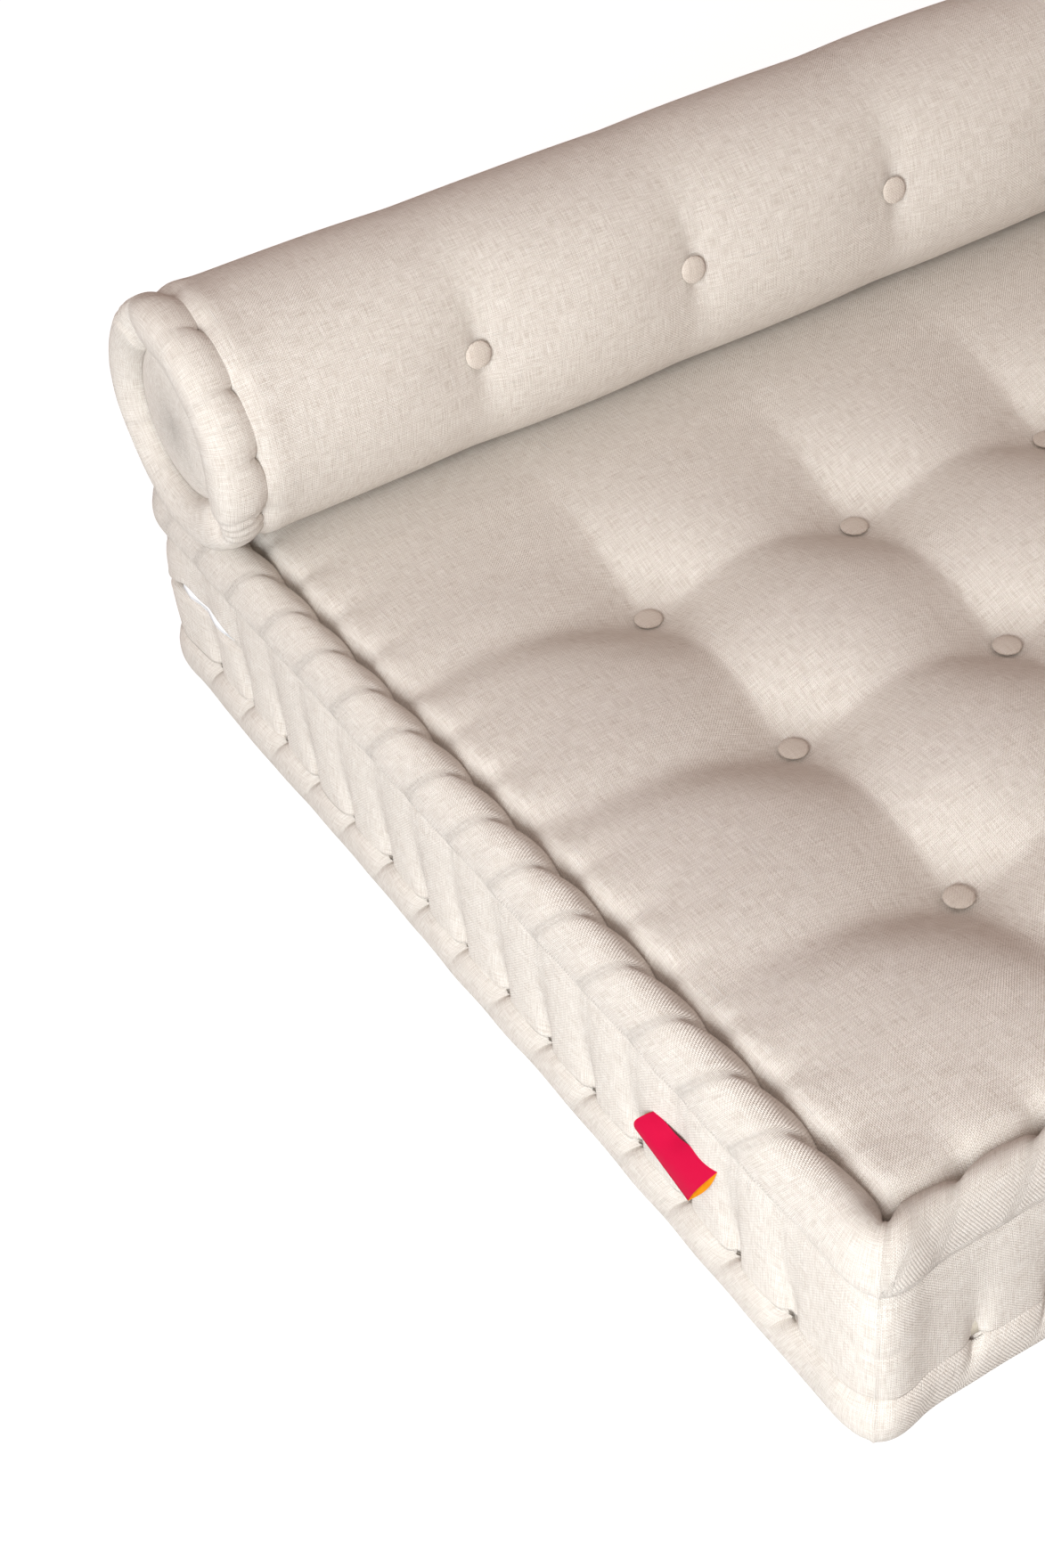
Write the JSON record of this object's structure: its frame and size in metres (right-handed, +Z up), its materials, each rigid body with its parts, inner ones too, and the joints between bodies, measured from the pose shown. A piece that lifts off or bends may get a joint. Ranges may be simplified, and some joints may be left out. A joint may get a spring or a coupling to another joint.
{
  "type": "backless divan",
  "caption": "Tufted floor mattress with rolled edges and covered buttons, and a loose round tufted bolster along its back edge.",
  "frame": {"origin": "middle of the mattress's underside, on the floor", "axes": "+Z up, +X along the mattress to its right end as seen from the front, +Y from the front to the back edge, where the bolster lies"},
  "size_m": [1.927, 1, 0.4143],
  "materials": {
    "linen": "plain weave, natural off-white",
    "filling": "matted fibre",
    "twine": "twisted thread",
    "label": "satin ribbon",
    "zip_tape": "woven tape",
    "zip_teeth": "coiled nylon",
    "zip_metal": "off-white enamel"
  },
  "bodies": {
    "mattress": {"mattress_core": "filling", "top_panel": "linen", "bottom_panel": "linen", "boxing_front": "linen", "boxing_right": "linen", "boxing_left": "linen", "zip_panel_lower": "linen", "zip_panel_upper": "linen", "top_roll_front": "linen", "top_roll_right": "linen", "top_roll_back": "linen", "top_roll_left": "linen", "bottom_roll_front": "linen", "bottom_roll_right": "linen", "bottom_roll_back": "linen", "bottom_roll_left": "linen", "top_edge_twine": "twine", "bottom_edge_twine": "twine", "top_buttons": "linen", "bottom_buttons": "linen", "tufting_twines": "twine", "side_label": "label", "zip_tape_upper": "zip_tape", "zip_tape_lower": "zip_tape", "zip_teeth_upper": "zip_teeth", "zip_teeth_lower": "zip_teeth", "zip_stops": "zip_teeth"},
    "bolster": {"bolster_cover": "linen", "bolster_core": "filling", "bolster_front_buttons": "linen", "bolster_rear_buttons": "linen", "bolster_twines": "twine", "bolster_end_roll_left": "linen", "bolster_end_roll_right": "linen", "bolster_end_panel_left": "linen", "bolster_end_panel_right": "linen"},
    "zip_slider": {"zip_slider": "zip_metal"},
    "zip_pull": {"zip_pull": "zip_metal"}
  },
  "joints": [
    {"name": "bolster_lift", "type": "slide", "parent": "mattress", "child": "bolster", "axis": [0, 0, 1], "range_m": [0, 0.3]},
    {"name": "slider_run", "type": "slide", "parent": "mattress", "child": "zip_slider", "axis": [-1, 0, 0], "range_m": [0, 1.75]},
    {"name": "pull_swing", "type": "hinge", "parent": "zip_slider", "child": "zip_pull", "pos_m": [0.8636, 0.4903, 0.106], "axis": [0, 0, -1], "range_deg": [0, 175]}
  ]
}
